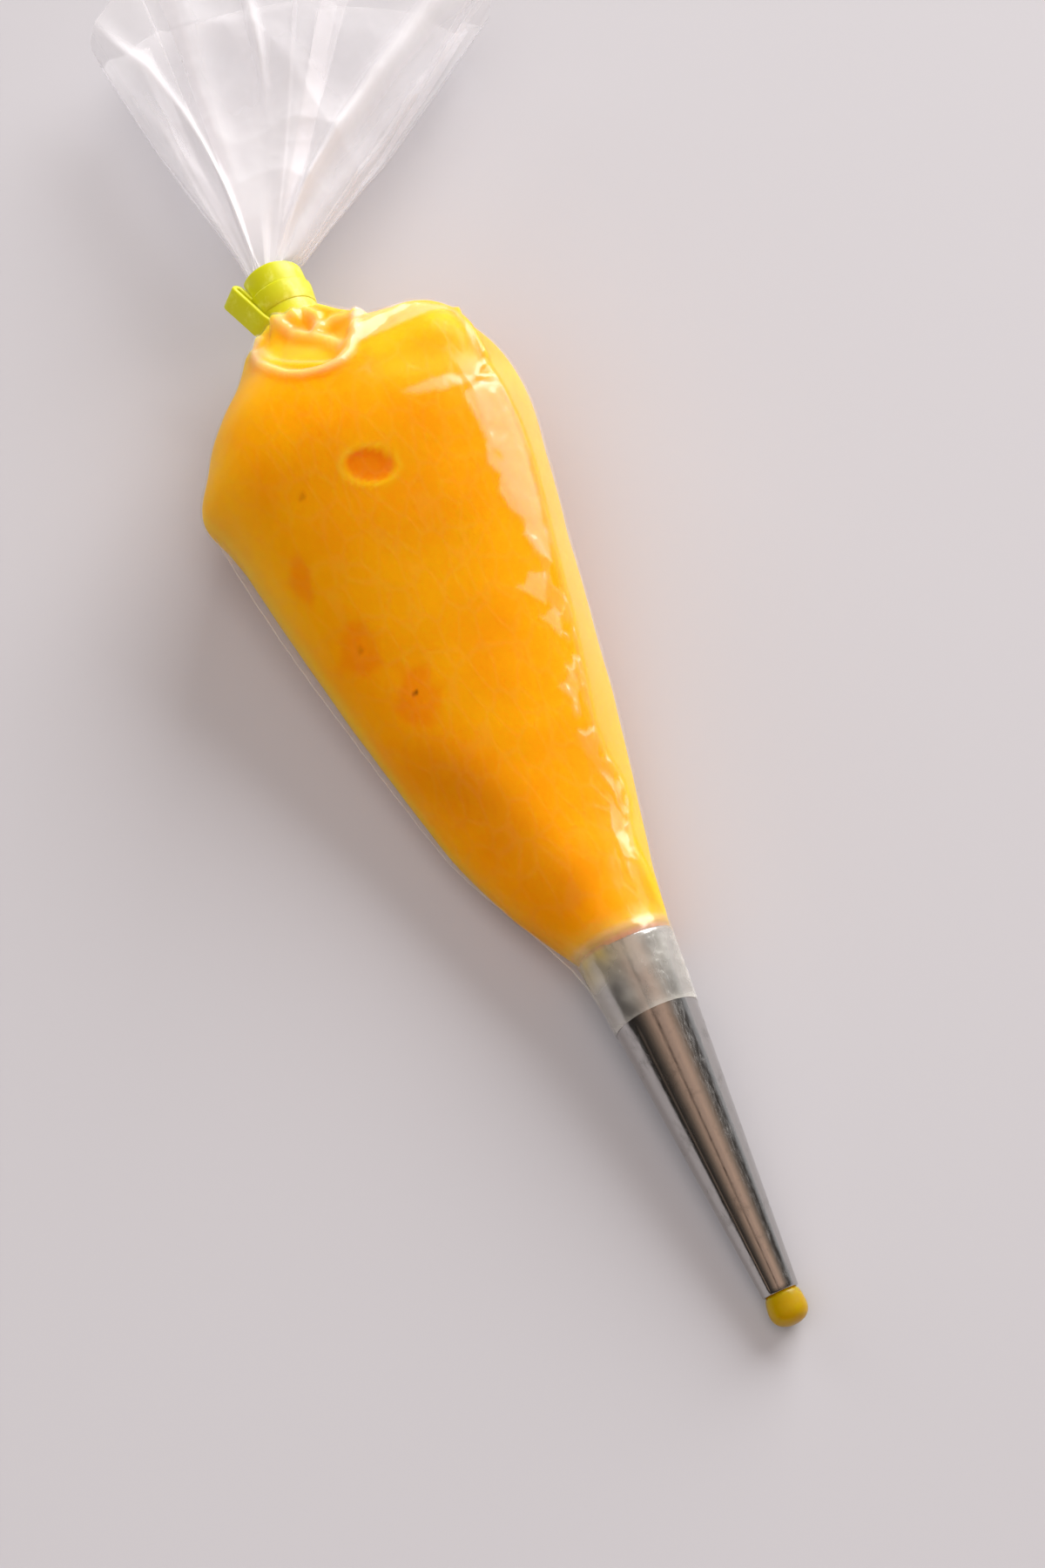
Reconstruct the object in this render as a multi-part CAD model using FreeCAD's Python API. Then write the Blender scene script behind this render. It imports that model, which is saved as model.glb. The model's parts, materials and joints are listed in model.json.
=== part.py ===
import FreeCAD, Part
import math
import os

# A filled, tied piping bag lying on its side on a worktop. Millimetres.
# Frame: z = 0 is the worktop. The origin is on the bag's flat underside, straight below the
# nozzle's axis and 80 mm behind the nozzle's wide end. +X runs towards the nozzle's mouth.

V = FreeCAD.Vector

# Nozzle: one long plain cone of thin steel, pitched a little nose down
rim_x = 80.0
rim_z = 11.0
nozzle_pitch = 5.0
nozzle_length = 74.0
nozzle_rim_radius = 10.0
nozzle_mouth_radius = 3.7
nozzle_wall = 0.45

# Film: the bag's plastic, drawn thicker than the real sheet so that it is a sound solid
film_wall = 0.4
sleeve_length = 15.0
sleeve_clearance = 0.06
body_gap = 0.3
sleeve_step = 0.05

# The filled body, tail end first: x, left edge, right edge, underside, top.
# An underside below zero is trimmed flat on the worktop.
body_sections = [
    (-71.0, -16.2, -1.8, 11.8, 26.2),
    (-67.0, -21.0, 8.0, 6.0, 30.0),
    (-62.0, -26.5, 19.5, 1.5, 36.0),
    (-56.0, -32.0, 24.5, -1.5, 40.8),
    (-48.0, -37.8, 28.0, -3.0, 43.6),
    (-38.0, -41.4, 29.9, -3.0, 44.0),
    (-22.0, -39.4, 28.0, -3.0, 39.2),
    (-4.0, -36.3, 25.4, -3.0, 33.4),
    (14.0, -32.5, 22.7, -2.5, 28.0),
    (32.0, -28.4, 19.9, -2.5, 23.6),
    (50.0, -23.9, 16.2, -2.5, 20.9),
    (66.0, -17.6, 12.8, -1.2, 20.4),
]
section_points = 28
section_power = 2.2

# Side weld: a narrow flat fin where the two layers of film are sealed together.
# Its free edge, from the shoulder to the sleeve.
weld_edge = [
    (-34.0, -42.9, 19.8),
    (-18.0, -40.2, 17.3),
    (0.0, -36.7, 14.6),
    (17.0, -32.9, 12.3),
    (34.0, -28.9, 10.4),
    (52.0, -24.6, 9.3),
    (70.0, -19.2, 9.6),
    (88.0, -11.2, 10.2),
]
weld_root = 9.0
weld_thickness = 0.4

# Gathered neck and the tie wound round it
neck_y = -9.0
neck_z = 19.0
neck_radius = 5.3
neck_start_x = -71.0
neck_end_x = -85.6
tie_clearance = 0.08
tie_turn_radii = [6.6, 6.95, 6.7]
tie_turn_width = 4.5
tie_turn_pitch = 4.2
tie_first_x = -74.1
bore_lead = 10.0
bore_length = 40.0
strap_width = 5.4
strap_thickness = 1.3
strap_length = 12.0
strap_depth = 4.6
strap_tilt = 38.0
strap_heading = 13.0
strap_centre = (-78.6, -16.2, 21.4)

# Open tail of film beyond the tie: a flattened funnel that fans out from a knuckle
knuckle_x = -90.6
knuckle_radius = 4.6
tail_heading = 23.0
tail_wall = 0.5
tail_floor_gap = 0.6
mouth_arc_centre = (-103.0, 6.0)
mouth_arc_radius = 62.0
mouth_arc_height = 100.0
# Distance from the knuckle, half width, half height, middle's height
tail_sections = [
    (0.0, 4.4, 4.3, 19.0),
    (5.0, 9.2, 5.4, 18.4),
    (14.0, 16.4, 7.4, 17.0),
    (26.0, 23.8, 9.6, 14.8),
    (40.0, 32.4, 11.6, 13.2),
    (58.0, 46.0, 12.8, 13.6),
    (86.0, 67.0, 13.2, 14.0),
]

# Filling: its core in the nozzle stops short of the mouth, where the bead's stem begins
core_end = 60.0
bead_radius = 3.55
bead_reach = 3.2
stem_radius = 2.7
stem_length = 13.0


def on_axis(station, across=0.0, up=0.0):
    """A point at a station along the nozzle's axis, measured from its wide end."""
    pitch = math.radians(nozzle_pitch)
    return V(
        rim_x + station * math.cos(pitch) + up * math.sin(pitch),
        across,
        rim_z - station * math.sin(pitch) + up * math.cos(pitch),
    )


def axis_direction():
    return (on_axis(1.0) - on_axis(0.0)).normalize()


def closed_curve(points):
    curve = Part.BSplineCurve()
    curve.interpolate(Points=points, PeriodicFlag=True)
    return Part.Wire([curve.toShape()])


def rounded(angle, power):
    """Cosine and sine of an angle, filled out towards a square as the power grows above 2."""
    c, s = math.cos(angle), math.sin(angle)
    return (
        math.copysign(abs(c) ** (2.0 / power), c),
        math.copysign(abs(s) ** (2.0 / power), s),
    )


def angles():
    return [2.0 * math.pi * (i + 0.5) / section_points for i in range(section_points)]


def body_wire(section, inset):
    """One cross-section of the filled body, drawn in by the film's thickness where asked."""
    x, left, right, underside, top = section
    middle_y, middle_z = (left + right) / 2.0, (underside + top) / 2.0
    half_width, half_height = (right - left) / 2.0 - inset, (top - underside) / 2.0 - inset
    points = []
    for angle in angles():
        c, s = rounded(angle, section_power)
        points.append(V(x, middle_y + half_width * c, middle_z + half_height * s))
    return closed_curve(points)


def ring_wire(station, radius):
    """A circle about the nozzle's axis, with the same points as a cross-section of the body."""
    return closed_curve(
        [on_axis(station, radius * math.cos(a), radius * math.sin(a)) for a in angles()]
    )


def axial_cone(start, end, start_radius, end_radius):
    return Part.makeCone(
        start_radius, end_radius, end - start, on_axis(start), axis_direction()
    )


def nozzle_radius(station):
    slope = (nozzle_mouth_radius - nozzle_rim_radius) / nozzle_length
    return nozzle_rim_radius + slope * station


def above(shape, height):
    """What of a shape lies above a height."""
    size = 1000.0
    below = Part.makeBox(size, size, size, V(-size / 2.0, -size / 2.0, height - size))
    return shape.cut(below)


def body_loft(inset, front_ring, underside):
    """The filled body as a loft that ends on a ring round the nozzle and is flat underneath."""
    sections = list(body_sections)
    x, left, right, low, top = sections[0]
    sections[0] = (x + inset, left, right, low, top)
    wires = [body_wire(section, inset) for section in sections] + [front_ring]
    return above(Part.makeLoft(wires, True, False), underside)


def filling_body():
    front = ring_wire(-body_gap, nozzle_rim_radius - sleeve_clearance)
    return body_loft(film_wall, front, film_wall)


def bag_outside():
    """The outside of the film, filled solid: the body, carried on as a sleeve over the nozzle."""
    inside = nozzle_rim_radius + sleeve_clearance
    end_inside = nozzle_radius(sleeve_length) + sleeve_clearance
    front = ring_wire(-body_gap, inside + film_wall + sleeve_step)
    body = body_loft(0.0, front, 0.0)
    sleeve = axial_cone(-1.0, sleeve_length, inside + film_wall, end_inside + film_wall)
    return body.fuse(sleeve)


def bag_film(outside, filling):
    past_end = sleeve_length + 1.0
    socket = axial_cone(
        -body_gap,
        past_end,
        nozzle_rim_radius + sleeve_clearance,
        nozzle_radius(past_end) + sleeve_clearance,
    )
    return outside.cut(filling).cut(socket)


def side_weld(outside):
    """A flat fin that stands out of the left side."""
    free_edge = [V(x, y, z) for x, y, z in weld_edge]
    root = [point + V(0, weld_root, 0) for point in free_edge]
    strip = Part.makeRuledSurface(Part.makePolygon(free_edge), Part.makePolygon(root))
    lengths = strip.extrude(V(0, 0, weld_thickness)).Solids
    return lengths[0].multiFuse(lengths[1:]).cut(outside)


def gathered_neck():
    return Part.makeCylinder(
        neck_radius,
        neck_start_x - neck_end_x,
        V(neck_start_x, neck_y, neck_z),
        V(-1, 0, 0),
    )


def along_neck(radius, start_x, length):
    return Part.makeCylinder(radius, length, V(start_x, neck_y, neck_z), V(-1, 0, 0))


def tie_turns():
    """Turns of the band side by side, each bedded into the next."""
    turns = None
    for i, radius in enumerate(tie_turn_radii):
        front = tie_first_x + tie_turn_width / 2.0 - i * tie_turn_pitch
        turn = along_neck(radius, front, tie_turn_width)
        turns = turn if turns is None else turns.fuse(turn)
    bore = along_neck(neck_radius + tie_clearance, tie_first_x + bore_lead, bore_length)
    return turns.cut(bore).removeSplitter()


def tie_loop(turns):
    """The band's slack loop: a flat oval ring that stands off the turns on the left."""
    half = strap_length / 2.0
    corner = strap_depth / 2.0

    def oval(inset):
        r = corner - inset
        reach = half - corner
        top = Part.LineSegment(V(-reach, r, 0), V(reach, r, 0)).toShape()
        right = Part.Arc(V(reach, r, 0), V(reach + r, 0, 0), V(reach, -r, 0)).toShape()
        low = Part.LineSegment(V(reach, -r, 0), V(-reach, -r, 0)).toShape()
        left = Part.Arc(V(-reach, -r, 0), V(-reach - r, 0, 0), V(-reach, r, 0)).toShape()
        face = Part.Face(Part.Wire([top, right, low, left]))
        return face.extrude(V(0, 0, strap_width))

    ring = oval(0.0).cut(oval(strap_thickness))
    ring.translate(V(0, 0, -strap_width / 2.0))
    ring.rotate(V(0, 0, 0), V(1, 0, 0), strap_tilt)
    ring.rotate(V(0, 0, 0), V(0, 0, 1), strap_heading)
    ring.translate(V(*strap_centre))
    core = along_neck(max(tie_turn_radii), tie_first_x + bore_lead, bore_length)
    standing = ring.cut(turns).cut(core)
    return max(standing.Solids, key=lambda solid: solid.Volume)


def tail_wire(section, inset):
    distance, half_width, half_height, height = section
    heading = math.radians(tail_heading)
    middle = V(
        knuckle_x - distance * math.cos(heading),
        neck_y + distance * math.sin(heading),
        height,
    )
    side = V(math.sin(heading), math.cos(heading), 0)
    points = []
    for angle in angles():
        c, s = rounded(angle, 2.0)
        across = (half_width - inset) * c
        up = (half_height - inset) * s
        points.append(middle + side * across + V(0, 0, up))
    return closed_curve(points)


def bag_tail():
    """The open funnel of film, from the knuckle at the tie to its arched mouth."""
    outside = Part.makeLoft([tail_wire(s, 0.0) for s in tail_sections], True, False)
    inner_wires = [tail_wire(s, tail_wall) for s in tail_sections[1:]]
    hollow = Part.makeLoft(inner_wires, True, False)
    knuckle = Part.makeSphere(knuckle_radius, V(knuckle_x, neck_y, neck_z))
    centre_x, centre_y = mouth_arc_centre
    foot = V(centre_x, centre_y, -mouth_arc_height / 2.0)
    mouth = Part.makeCylinder(mouth_arc_radius, mouth_arc_height, foot)
    shell = above(outside, tail_floor_gap).fuse(knuckle)
    return shell.cut(above(hollow, tail_floor_gap + tail_wall)).common(mouth)


def nozzle():
    """A thin cone, open at both ends."""
    outside = axial_cone(0.0, nozzle_length, nozzle_rim_radius, nozzle_mouth_radius)
    bore = axial_cone(
        0.0,
        nozzle_length,
        nozzle_rim_radius - nozzle_wall,
        nozzle_mouth_radius - nozzle_wall,
    )
    return outside.cut(bore)


def filling_core():
    """The filling that stands in the nozzle and turns with it."""
    return axial_cone(
        0.0,
        core_end,
        nozzle_rim_radius - nozzle_wall,
        nozzle_radius(core_end) - nozzle_wall,
    )


def filling_bead():
    """The bead at the mouth, on the stem of filling that follows it out."""
    ball = Part.makeSphere(bead_radius, on_axis(nozzle_length + bead_reach))
    stem_start = on_axis(nozzle_length - stem_length)
    stem = Part.makeCylinder(stem_radius, stem_length + bead_reach, stem_start, axis_direction())
    return ball.fuse(stem)


def main():
    os.makedirs("parts", exist_ok=True)
    filling = filling_body()
    outside = bag_outside()
    turns = tie_turns()
    shapes = {
        "bag_film": bag_film(outside, filling),
        "side_weld": side_weld(outside),
        "gathered_neck": gathered_neck(),
        "bag_tail": bag_tail(),
        "tie_turns": turns,
        "tie_loop": tie_loop(turns),
        "nozzle": nozzle(),
        "filling_body": filling,
        "filling_core": filling_core(),
        "filling_bead": filling_bead(),
    }
    for name, shape in shapes.items():
        if len(shape.Solids) == 1:
            shape = shape.Solids[0]
        shape.exportStep(f"parts/{name}.step")
        box = shape.BoundBox
        print(
            f"{name}: {len(shape.Solids)} solid, valid {shape.isValid()}, {shape.Volume:.0f} mm3,",
            f"x {box.XMin:.1f}..{box.XMax:.1f} y {box.YMin:.1f}..{box.YMax:.1f}",
            f"z {box.ZMin:.2f}..{box.ZMax:.2f}",
        )


main()
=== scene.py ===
import json
import math
import bpy
import numpy as np
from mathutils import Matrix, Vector

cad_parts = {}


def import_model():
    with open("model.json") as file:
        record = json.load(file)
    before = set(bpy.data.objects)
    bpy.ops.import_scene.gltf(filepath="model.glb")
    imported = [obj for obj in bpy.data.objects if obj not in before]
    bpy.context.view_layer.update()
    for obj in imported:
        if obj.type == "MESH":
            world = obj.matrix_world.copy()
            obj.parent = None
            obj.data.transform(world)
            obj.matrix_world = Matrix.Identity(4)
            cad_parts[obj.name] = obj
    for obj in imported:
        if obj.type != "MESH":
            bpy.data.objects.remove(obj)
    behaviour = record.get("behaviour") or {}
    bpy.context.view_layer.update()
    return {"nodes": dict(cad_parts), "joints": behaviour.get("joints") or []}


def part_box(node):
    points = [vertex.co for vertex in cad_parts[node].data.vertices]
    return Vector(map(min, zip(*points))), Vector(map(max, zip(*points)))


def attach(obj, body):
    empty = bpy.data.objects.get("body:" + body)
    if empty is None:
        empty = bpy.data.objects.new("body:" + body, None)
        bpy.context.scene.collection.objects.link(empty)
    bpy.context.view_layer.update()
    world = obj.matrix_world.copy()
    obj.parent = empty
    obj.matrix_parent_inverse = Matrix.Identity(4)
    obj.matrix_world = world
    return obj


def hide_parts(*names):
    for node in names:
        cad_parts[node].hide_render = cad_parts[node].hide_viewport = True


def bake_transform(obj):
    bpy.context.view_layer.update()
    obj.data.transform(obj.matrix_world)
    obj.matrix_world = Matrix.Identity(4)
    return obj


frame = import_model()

mm = 0.001
nodes = frame["nodes"]
joints = {joint["name"]: joint for joint in frame["joints"]}

# places taken from the frame
neckAt = np.array(joints["tie_turn"]["pos_m"]) / mm
rimAt = np.array(joints["nozzle_turn"]["pos_m"]) / mm
axisDir = np.array(joints["nozzle_turn"]["axis"])
axisUp = np.array([-axisDir[2], 0.0, axisDir[0]])
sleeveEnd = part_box("bag_film")[1].x / mm
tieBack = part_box("tie_turns")[0].x / mm

nozzleSize = dict(length=74.0, rimRadius=10.0, mouthRadius=3.7, wall=0.45)


def nozzleRadius(station):
    slope = (nozzleSize["mouthRadius"] - nozzleSize["rimRadius"]) / nozzleSize["length"]
    return nozzleSize["rimRadius"] + slope * station


def onAxis(station, across=0.0, up=0.0):
    return rimAt + station * axisDir + across * np.array([0.0, 1.0, 0.0]) + up * axisUp


# noise that is the same on every run, for many points at once
gradientTable = np.random.default_rng(7).normal(size=(256, 3))
gradientTable /= np.linalg.norm(gradientTable, axis=1)[:, None]


def perlin(points, seed=0):
    cell = np.floor(points).astype(np.int64)
    inside = points - cell
    fade = inside ** 3 * (inside * (inside * 6 - 15) + 10)
    total = np.zeros(len(points))
    for corner in range(8):
        offset = np.array([corner & 1, corner >> 1 & 1, corner >> 2 & 1])
        at = cell + offset
        key = at[:, 0] * 73856093 ^ at[:, 1] * 19349663 ^ at[:, 2] * 83492791 ^ seed * 2654435761
        weight = np.prod(np.where(offset, fade, 1 - fade), axis=1)
        total += weight * (gradientTable[key & 255] * (inside - offset)).sum(1)
    return total


# Sharp-crested folds, from 0 in the flats to 1 on the crests
def creased(points, scale, seed=0, octaves=3):
    total, share, size = 0.0, 0.0, 1.0
    for octave in range(octaves):
        total = total + size * (1 - 2.2 * np.abs(perlin(points / scale * 2 ** octave, seed + octave)))
        share += size
        size *= 0.5
    return np.clip(total / share, 0, 1)


# A table's rows on a smooth curve, evenly spaced along it
def resample(table, count):
    rows = np.array(table, float)
    at = np.concatenate([[0], np.cumsum(np.linalg.norm(np.diff(rows, axis=0), axis=1))])
    slope = np.gradient(rows, at, axis=0)
    want = np.linspace(0, at[-1], count)
    k = np.clip(np.searchsorted(at, want, side="right") - 1, 0, len(at) - 2)
    gap = (at[k + 1] - at[k])[:, None]
    u = (want - at[k])[:, None] / gap
    return (
        (2 * u ** 3 - 3 * u ** 2 + 1) * rows[k]
        + (u ** 3 - 2 * u ** 2 + u) * gap * slope[k]
        + (3 * u ** 2 - 2 * u ** 3) * rows[k + 1]
        + (u ** 3 - u ** 2) * gap * slope[k + 1]
    )


# 1 on a line drawn in plan on the top side, fading over a width
def along(points, line, width):
    x, y = points[..., 0], points[..., 1]
    nearest = np.full(x.shape, 1e9)
    for (ax, ay), (bx, by) in zip(line, line[1:]):
        dx, dy = bx - ax, by - ay
        t = np.clip(((x - ax) * dx + (y - ay) * dy) / (dx * dx + dy * dy), 0, 1)
        nearest = np.minimum(nearest, np.hypot(x - ax - t * dx, y - ay - t * dy))
    return np.exp(-((nearest / width) ** 2))


# 1 inside an outline drawn in plan, fading over a soft edge
def within(points, outline, soft):
    x, y = points[..., 0], points[..., 1]
    nearest = np.full(x.shape, 1e9)
    inside = np.zeros(x.shape, bool)
    for (ax, ay), (bx, by) in zip(outline, outline[1:] + outline[:1]):
        dx, dy = bx - ax, by - ay
        t = np.clip(((x - ax) * dx + (y - ay) * dy) / (dx * dx + dy * dy), 0, 1)
        nearest = np.minimum(nearest, np.hypot(x - ax - t * dx, y - ay - t * dy))
        crosses = (ay > y) != (by > y)
        inside ^= crosses & (x < ax + (y - ay) * dx / (dy if abs(dy) > 1e-9 else 1e-9))
    return step(-soft, soft, np.where(inside, nearest, -nearest))


def near(value, middle, width):
    return np.exp(-((value - middle) / width) ** 2)


def step(low, high, value):
    t = np.clip((value - low) / (high - low), 0, 1)
    return t * t * (3 - 2 * t)


# Outward unit normals of a rows x columns x 3 grid whose columns run round
def gridNormals(grid, closed=True):
    forward = np.gradient(grid, axis=0)
    if closed:
        around = np.roll(grid, -1, axis=1) - np.roll(grid, 1, axis=1)
    else:
        around = np.gradient(grid, axis=1)
    normal = np.cross(around, forward)
    return normal / np.maximum(np.linalg.norm(normal, axis=2, keepdims=True), 1e-9)


def meshObject(name, points, faces, material, body=None, smooth=True):
    mesh = bpy.data.meshes.new(name)
    mesh.from_pydata((np.asarray(points).reshape(-1, 3) * mm).tolist(), [], faces)
    mesh.materials.append(material)
    mesh.validate()
    mesh.update()
    mesh.polygons.foreach_set("use_smooth", [smooth] * len(mesh.polygons))
    made = bpy.data.objects.new(name, mesh)
    bpy.context.scene.collection.objects.link(made)
    if body:
        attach(made, body)
    return made


# Quads of a grid, wound so that gridNormals point out
def gridFaces(rows, columns, closed=True, start=0):
    faces = []
    last = columns if closed else columns - 1
    for i in range(rows - 1):
        for j in range(last):
            k = (j + 1) % columns
            a, b = start + i * columns + j, start + i * columns + k
            faces.append((a, b, b + columns, a + columns))
    return faces


# A number for each point that the material reads by name
def storeMask(made, name, values):
    attribute = made.data.attributes.new(name, "FLOAT", "POINT")
    attribute.data.foreach_set("value", np.asarray(values, np.float32).ravel())


# shader groups
def newGroup(name, inputs, outputs):
    tree = bpy.data.node_groups.new(name, "ShaderNodeTree")
    for label, value in inputs.items():
        kind = "NodeSocketColor" if isinstance(value, tuple) else "NodeSocketFloat"
        tree.interface.new_socket(label, in_out="INPUT", socket_type=kind).default_value = value
    for label, kind in outputs.items():
        tree.interface.new_socket(label, in_out="OUTPUT", socket_type="NodeSocket" + kind)
    return tree, tree.nodes.new("NodeGroupInput").outputs, tree.nodes.new("NodeGroupOutput").inputs


# A new node with its settings, and inputs given as values or as outputs to link from
def put(tree, kind, settings=None, **inputs):
    made = tree.nodes.new("ShaderNode" + kind)
    for key, value in (settings or {}).items():
        setattr(made, key, value)
    for key, value in inputs.items():
        socket = made.inputs[int(key[1:])] if key[1:].isdigit() else made.inputs[key.replace("_", " ")]
        if isinstance(value, bpy.types.NodeSocket):
            tree.links.new(value, socket)
        else:
            socket.default_value = value
    return made


def maths(tree, operation, a, b=0.0, clamp=False):
    made = put(tree, "Math", dict(operation=operation, use_clamp=clamp), i0=a, i1=b)
    return made.outputs[0]


def spread(tree, value, low, high, toLow=0.0, toHigh=1.0):
    made = put(tree, "MapRange", dict(interpolation_type="SMOOTHSTEP"), Value=value)
    for key, number in (("From Min", low), ("From Max", high), ("To Min", toLow), ("To Max", toHigh)):
        made.inputs[key].default_value = number
    return made.outputs[0]


# A mask stored on the mesh
def maskOf(tree, name):
    return put(tree, "Attribute", dict(attribute_name=name)).outputs["Fac"]


def mixColors(tree, share, first, second):
    return put(tree, "Mix", dict(data_type="RGBA"), i0=share, i6=first, i7=second).outputs[2]


# Fine creases and ripples of thin film
def crinkleGroup():
    tree, given, out = newGroup(
        "filmCrinkle",
        {"Size": 300.0, "Stretch": 0.35, "Seed": 0.0},
        {"Crease": "Float", "Height": "Float"},
    )
    place = put(tree, "TexCoord").outputs["Object"]
    squeeze = put(tree, "CombineXYZ", X=given["Stretch"], Y=1.0, Z=1.0).outputs[0]
    flow = put(tree, "VectorMath", dict(operation="MULTIPLY"), i0=place, i1=squeeze).outputs[0]
    seeded = dict(noise_dimensions="4D")
    warp = put(tree, "TexNoise", seeded, Vector=flow, W=given["Seed"], Scale=90.0, Detail=2.0)
    warped = dict(i0=warp.outputs["Color"], i1=(0.006, 0.006, 0.006), i2=flow)
    bent = put(tree, "VectorMath", dict(operation="MULTIPLY_ADD"), **warped).outputs[0]
    cells = put(tree, "TexVoronoi", dict(feature="DISTANCE_TO_EDGE"), Vector=bent, Scale=given["Size"])
    waves = dict(Vector=bent, W=given["Seed"], Scale=given["Size"], Detail=4.0, Roughness=0.6)
    ripple = put(tree, "TexNoise", seeded, **waves)
    edge = spread(tree, cells.outputs["Distance"], 0.0, 0.12, 1.0, 0.0)
    tree.links.new(edge, out["Crease"])
    rounded = dict(feature="SMOOTH_F1")
    tilt = put(tree, "TexVoronoi", rounded, Vector=bent, Scale=given["Size"], Smoothness=0.2)
    height = maths(tree, "ADD", maths(tree, "MULTIPLY", tilt.outputs["Distance"], 0.7), ripple.outputs["Fac"])
    tree.links.new(height, out["Height"])
    return tree


# Soft uneven colour of a cooked paste, with fine grain
def mottleGroup():
    tree, given, out = newGroup(
        "curdMottle",
        {"Light": (1.0, 0.43, 0.01, 1.0), "Deep": (0.86, 0.26, 0.0, 1.0), "Size": 60.0},
        {"Color": "Color", "Grain": "Float"},
    )
    place = put(tree, "TexCoord").outputs["Object"]
    clouds = put(tree, "TexNoise", Vector=place, Scale=given["Size"], Detail=3.0, Roughness=0.55)
    fine = put(tree, "TexNoise", Vector=place, Scale=1400.0, Detail=3.0, Roughness=0.7)
    cloud = spread(tree, clouds.outputs["Fac"], 0.35, 0.68)
    speckAndShade = spread(tree, fine.outputs["Fac"], 0.55, 0.75, 0.0, 0.16)
    share = maths(tree, "ADD", maths(tree, "MULTIPLY", cloud, 0.55), speckAndShade, clamp=True)
    tree.links.new(mixColors(tree, share, given["Light"], given["Deep"]), out["Color"])
    tree.links.new(fine.outputs["Fac"], out["Grain"])
    return tree


# Fine lines and handling marks along a drawn surface
def brushedGroup():
    tree, given, out = newGroup(
        "drawnLines",
        {"Across": 2600.0, "Along": 18.0, "Marks": 0.5},
        {"Lines": "Float", "Marks": "Float"},
    )
    place = put(tree, "TexCoord").outputs["Object"]
    scale = put(tree, "CombineXYZ", X=given["Along"], Y=given["Across"], Z=given["Across"]).outputs[0]
    drawn = put(tree, "VectorMath", dict(operation="MULTIPLY"), i0=place, i1=scale).outputs[0]
    lines = put(tree, "TexNoise", Vector=drawn, Scale=1.0, Detail=3.0, Roughness=0.6)
    blots = put(tree, "TexNoise", Vector=place, Scale=243.0, Detail=4.0, Roughness=0.65)
    tree.links.new(lines.outputs["Fac"], out["Lines"])
    marks = maths(tree, "MULTIPLY", spread(tree, blots.outputs["Fac"], 0.5, 0.72), given["Marks"])
    tree.links.new(marks, out["Marks"])
    return tree


crinkle = crinkleGroup()
mottle = mottleGroup()
brushed = brushedGroup()


def newMaterial(name):
    made = bpy.data.materials.new(name)
    made.use_nodes = True
    tree = made.node_tree
    tree.nodes.clear()
    output = tree.nodes.new("ShaderNodeOutputMaterial")
    surface = tree.nodes.new("ShaderNodeBsdfPrincipled")
    tree.links.new(surface.outputs[0], output.inputs["Surface"])
    return made, tree, surface, output


def useGroup(tree, group, **inputs):
    made = tree.nodes.new("ShaderNodeGroup")
    made.node_tree = group
    for key, value in inputs.items():
        made.inputs[key].default_value = value
    return made.outputs


def bumpInto(tree, surface, height, strength, distance):
    relief = put(tree, "Bump", Strength=strength, Distance=distance, Height=height)
    tree.links.new(relief.outputs[0], surface.inputs["Normal"])
    return relief


def curdMaterial(name, look):
    made, tree, surface, output = newMaterial(name)
    paste = useGroup(tree, mottle, Light=look["light"], Deep=look["deep"], Size=look["clouds"])
    color = paste["Color"]
    # the pale colour is painted light, and the speck colour paints shade as well as real specks
    for mask in ("pocket", "paleLight", "speckAndShade"):
        color = mixColors(tree, maskOf(tree, mask), color, look[mask])
    tree.links.new(color, surface.inputs["Base Color"])
    surface.inputs["Roughness"].default_value = look["roughness"]
    surface.inputs["Subsurface Weight"].default_value = look["subsurface"]
    surface.inputs["Subsurface Radius"].default_value = look["radius"]
    surface.inputs["Subsurface Scale"].default_value = look["depth"]
    surface.inputs["Specular IOR Level"].default_value = look["specular"]
    bumpInto(tree, surface, paste["Grain"], look["bump"], 0.0002)
    return made


curdLook = dict(
    light=(1.0, 0.42, 0.0, 1.0),
    deep=(0.96, 0.32, 0.0, 1.0),
    pocket=(0.93, 0.21, 0.0, 1.0),
    # dark brown: real specks and painted shade
    speckAndShade=(0.34, 0.09, 0.0, 1.0),
    # paler yellow: painted light
    paleLight=(1.0, 0.50, 0.010, 1.0),
    clouds=45.0,
    roughness=0.45,
    subsurface=0.85,
    radius=(1.0, 0.5, 0.02),
    depth=0.012,
    specular=0.04,
    bump=0.12,
)
curd = curdMaterial("curd", curdLook)
# the bead's filling: darker copies of the curd colours, painted shade
shadedBeadLook = {**curdLook, "light": (0.42, 0.28, 0.0, 1.0), "deep": (0.33, 0.19, 0.0, 1.0)}
shadedBeadLook.update(roughness=0.3, specular=0.3)
shadedBeadCurd = curdMaterial("shadedBeadCurd", shadedBeadLook)


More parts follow.
